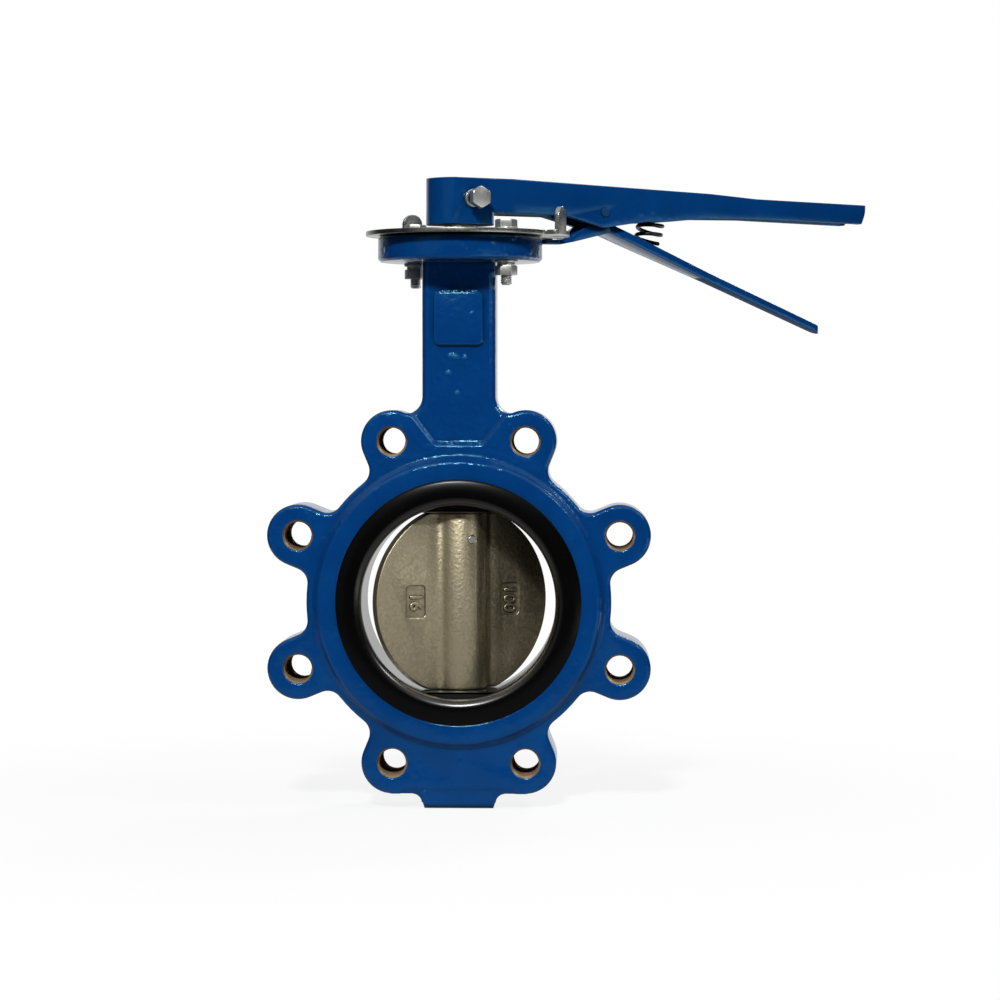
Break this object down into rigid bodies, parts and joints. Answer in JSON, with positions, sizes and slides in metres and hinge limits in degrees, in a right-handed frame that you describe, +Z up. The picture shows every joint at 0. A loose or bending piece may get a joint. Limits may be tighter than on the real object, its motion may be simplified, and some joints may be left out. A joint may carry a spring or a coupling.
{
  "type": "lug butterfly valve",
  "caption": "Lug-type butterfly valve with a rubber seat, a round disc on a vertical stem, a notched plate and a squeeze-trigger lever handle.",
  "frame": {"origin": "centre of the bore at mid-length, on the stem's axis", "axes": "+Z up along the stem, +Y along the pipe; the front face looks along -Y; the closed lever would point along +X"},
  "size_m": [0.3193, 0.1817, 0.326],
  "materials": {
    "blue_paint": "semi-gloss blue enamel on cast iron",
    "seat_rubber": "black moulded rubber",
    "disc_metal": "nickel-plated cast iron, fine grain",
    "zinc_steel": "zinc-plated steel",
    "stem_steel": "turned stainless steel",
    "bush_bronze": "turned bronze",
    "spring_steel": "black oiled spring steel",
    "seal_rubber": "black seal rubber"
  },
  "bodies": {
    "valve_body": {"body_casting": "blue_paint", "seat_liner": "seat_rubber", "neck_bush_upper": "bush_bronze", "neck_bush_lower": "bush_bronze", "bottom_bush": "bush_bronze", "stem_thrust_washer": "bush_bronze", "notch_plate": "zinc_steel", "plate_bolts": "zinc_steel", "plate_washers": "zinc_steel", "plate_spring_washers": "zinc_steel", "plate_nuts": "zinc_steel"},
    "stem_and_lever": {"disc": "disc_metal", "disc_taper_pin": "stem_steel", "stem": "stem_steel", "stem_seal_rings": "seal_rubber", "stem_retaining_ring": "zinc_steel", "lever_handle": "blue_paint", "handle_set_bolt": "zinc_steel", "set_bolt_washer": "zinc_steel", "trigger_pin": "zinc_steel", "trigger_spring": "spring_steel"},
    "trigger": {"trigger": "blue_paint"}
  },
  "joints": [
    {"name": "stem_turn", "type": "hinge", "parent": "valve_body", "child": "stem_and_lever", "pos_m": [0, 0, 0], "axis": [0, 0, 1], "range_deg": [-30, 60]},
    {"name": "trigger_squeeze", "type": "hinge", "parent": "stem_and_lever", "child": "trigger", "pos_m": [0.06928, 0.04, 0.2035], "axis": [0.5, -0.866, 0], "range_deg": [-5, 10], "stiffness_Nm_per_rad": 4, "deforming": ["trigger_spring"]}
  ]
}
